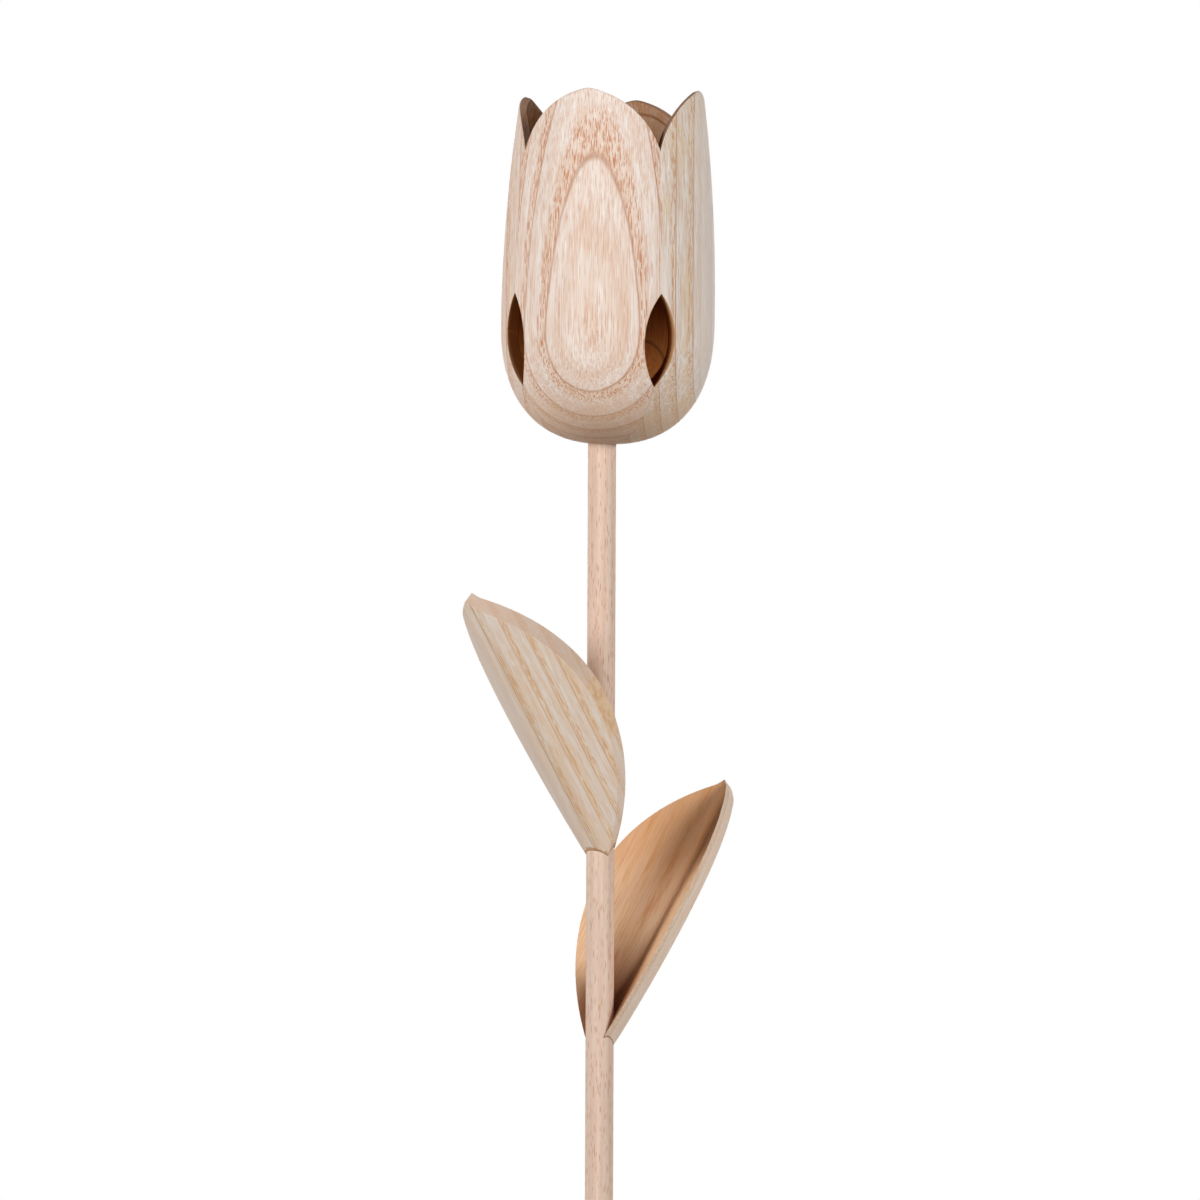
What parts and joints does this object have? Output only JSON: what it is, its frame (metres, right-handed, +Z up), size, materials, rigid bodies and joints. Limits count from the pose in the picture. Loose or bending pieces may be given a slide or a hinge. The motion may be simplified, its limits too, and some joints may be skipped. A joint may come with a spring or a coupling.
{
  "type": "wooden tulip ornament",
  "caption": "Hollow turned wooden tulip head of glued staves with cut petals and pointed windows, on a round dowel stem with folded leaves.",
  "frame": {"origin": "centre of the stem's sawn foot, on the stem's axis", "axes": "+Z up along the stem towards the flower head; -Y is the front that the picture shows; +X is to its right"},
  "size_m": [0.0964, 0.1242, 0.6138],
  "materials": {
    "stem_beech": "sanded, unfinished",
    "petal_ash": "sanded, unfinished",
    "leaf_ash": "sawn and sanded, unfinished"
  },
  "bodies": {
    "root": {"stem": "stem_beech", "petal_front": "petal_ash", "petal_right": "petal_ash", "petal_back": "petal_ash", "petal_left": "petal_ash", "upper_leaf": "leaf_ash", "lower_leaf": "leaf_ash"}
  },
  "joints": []
}
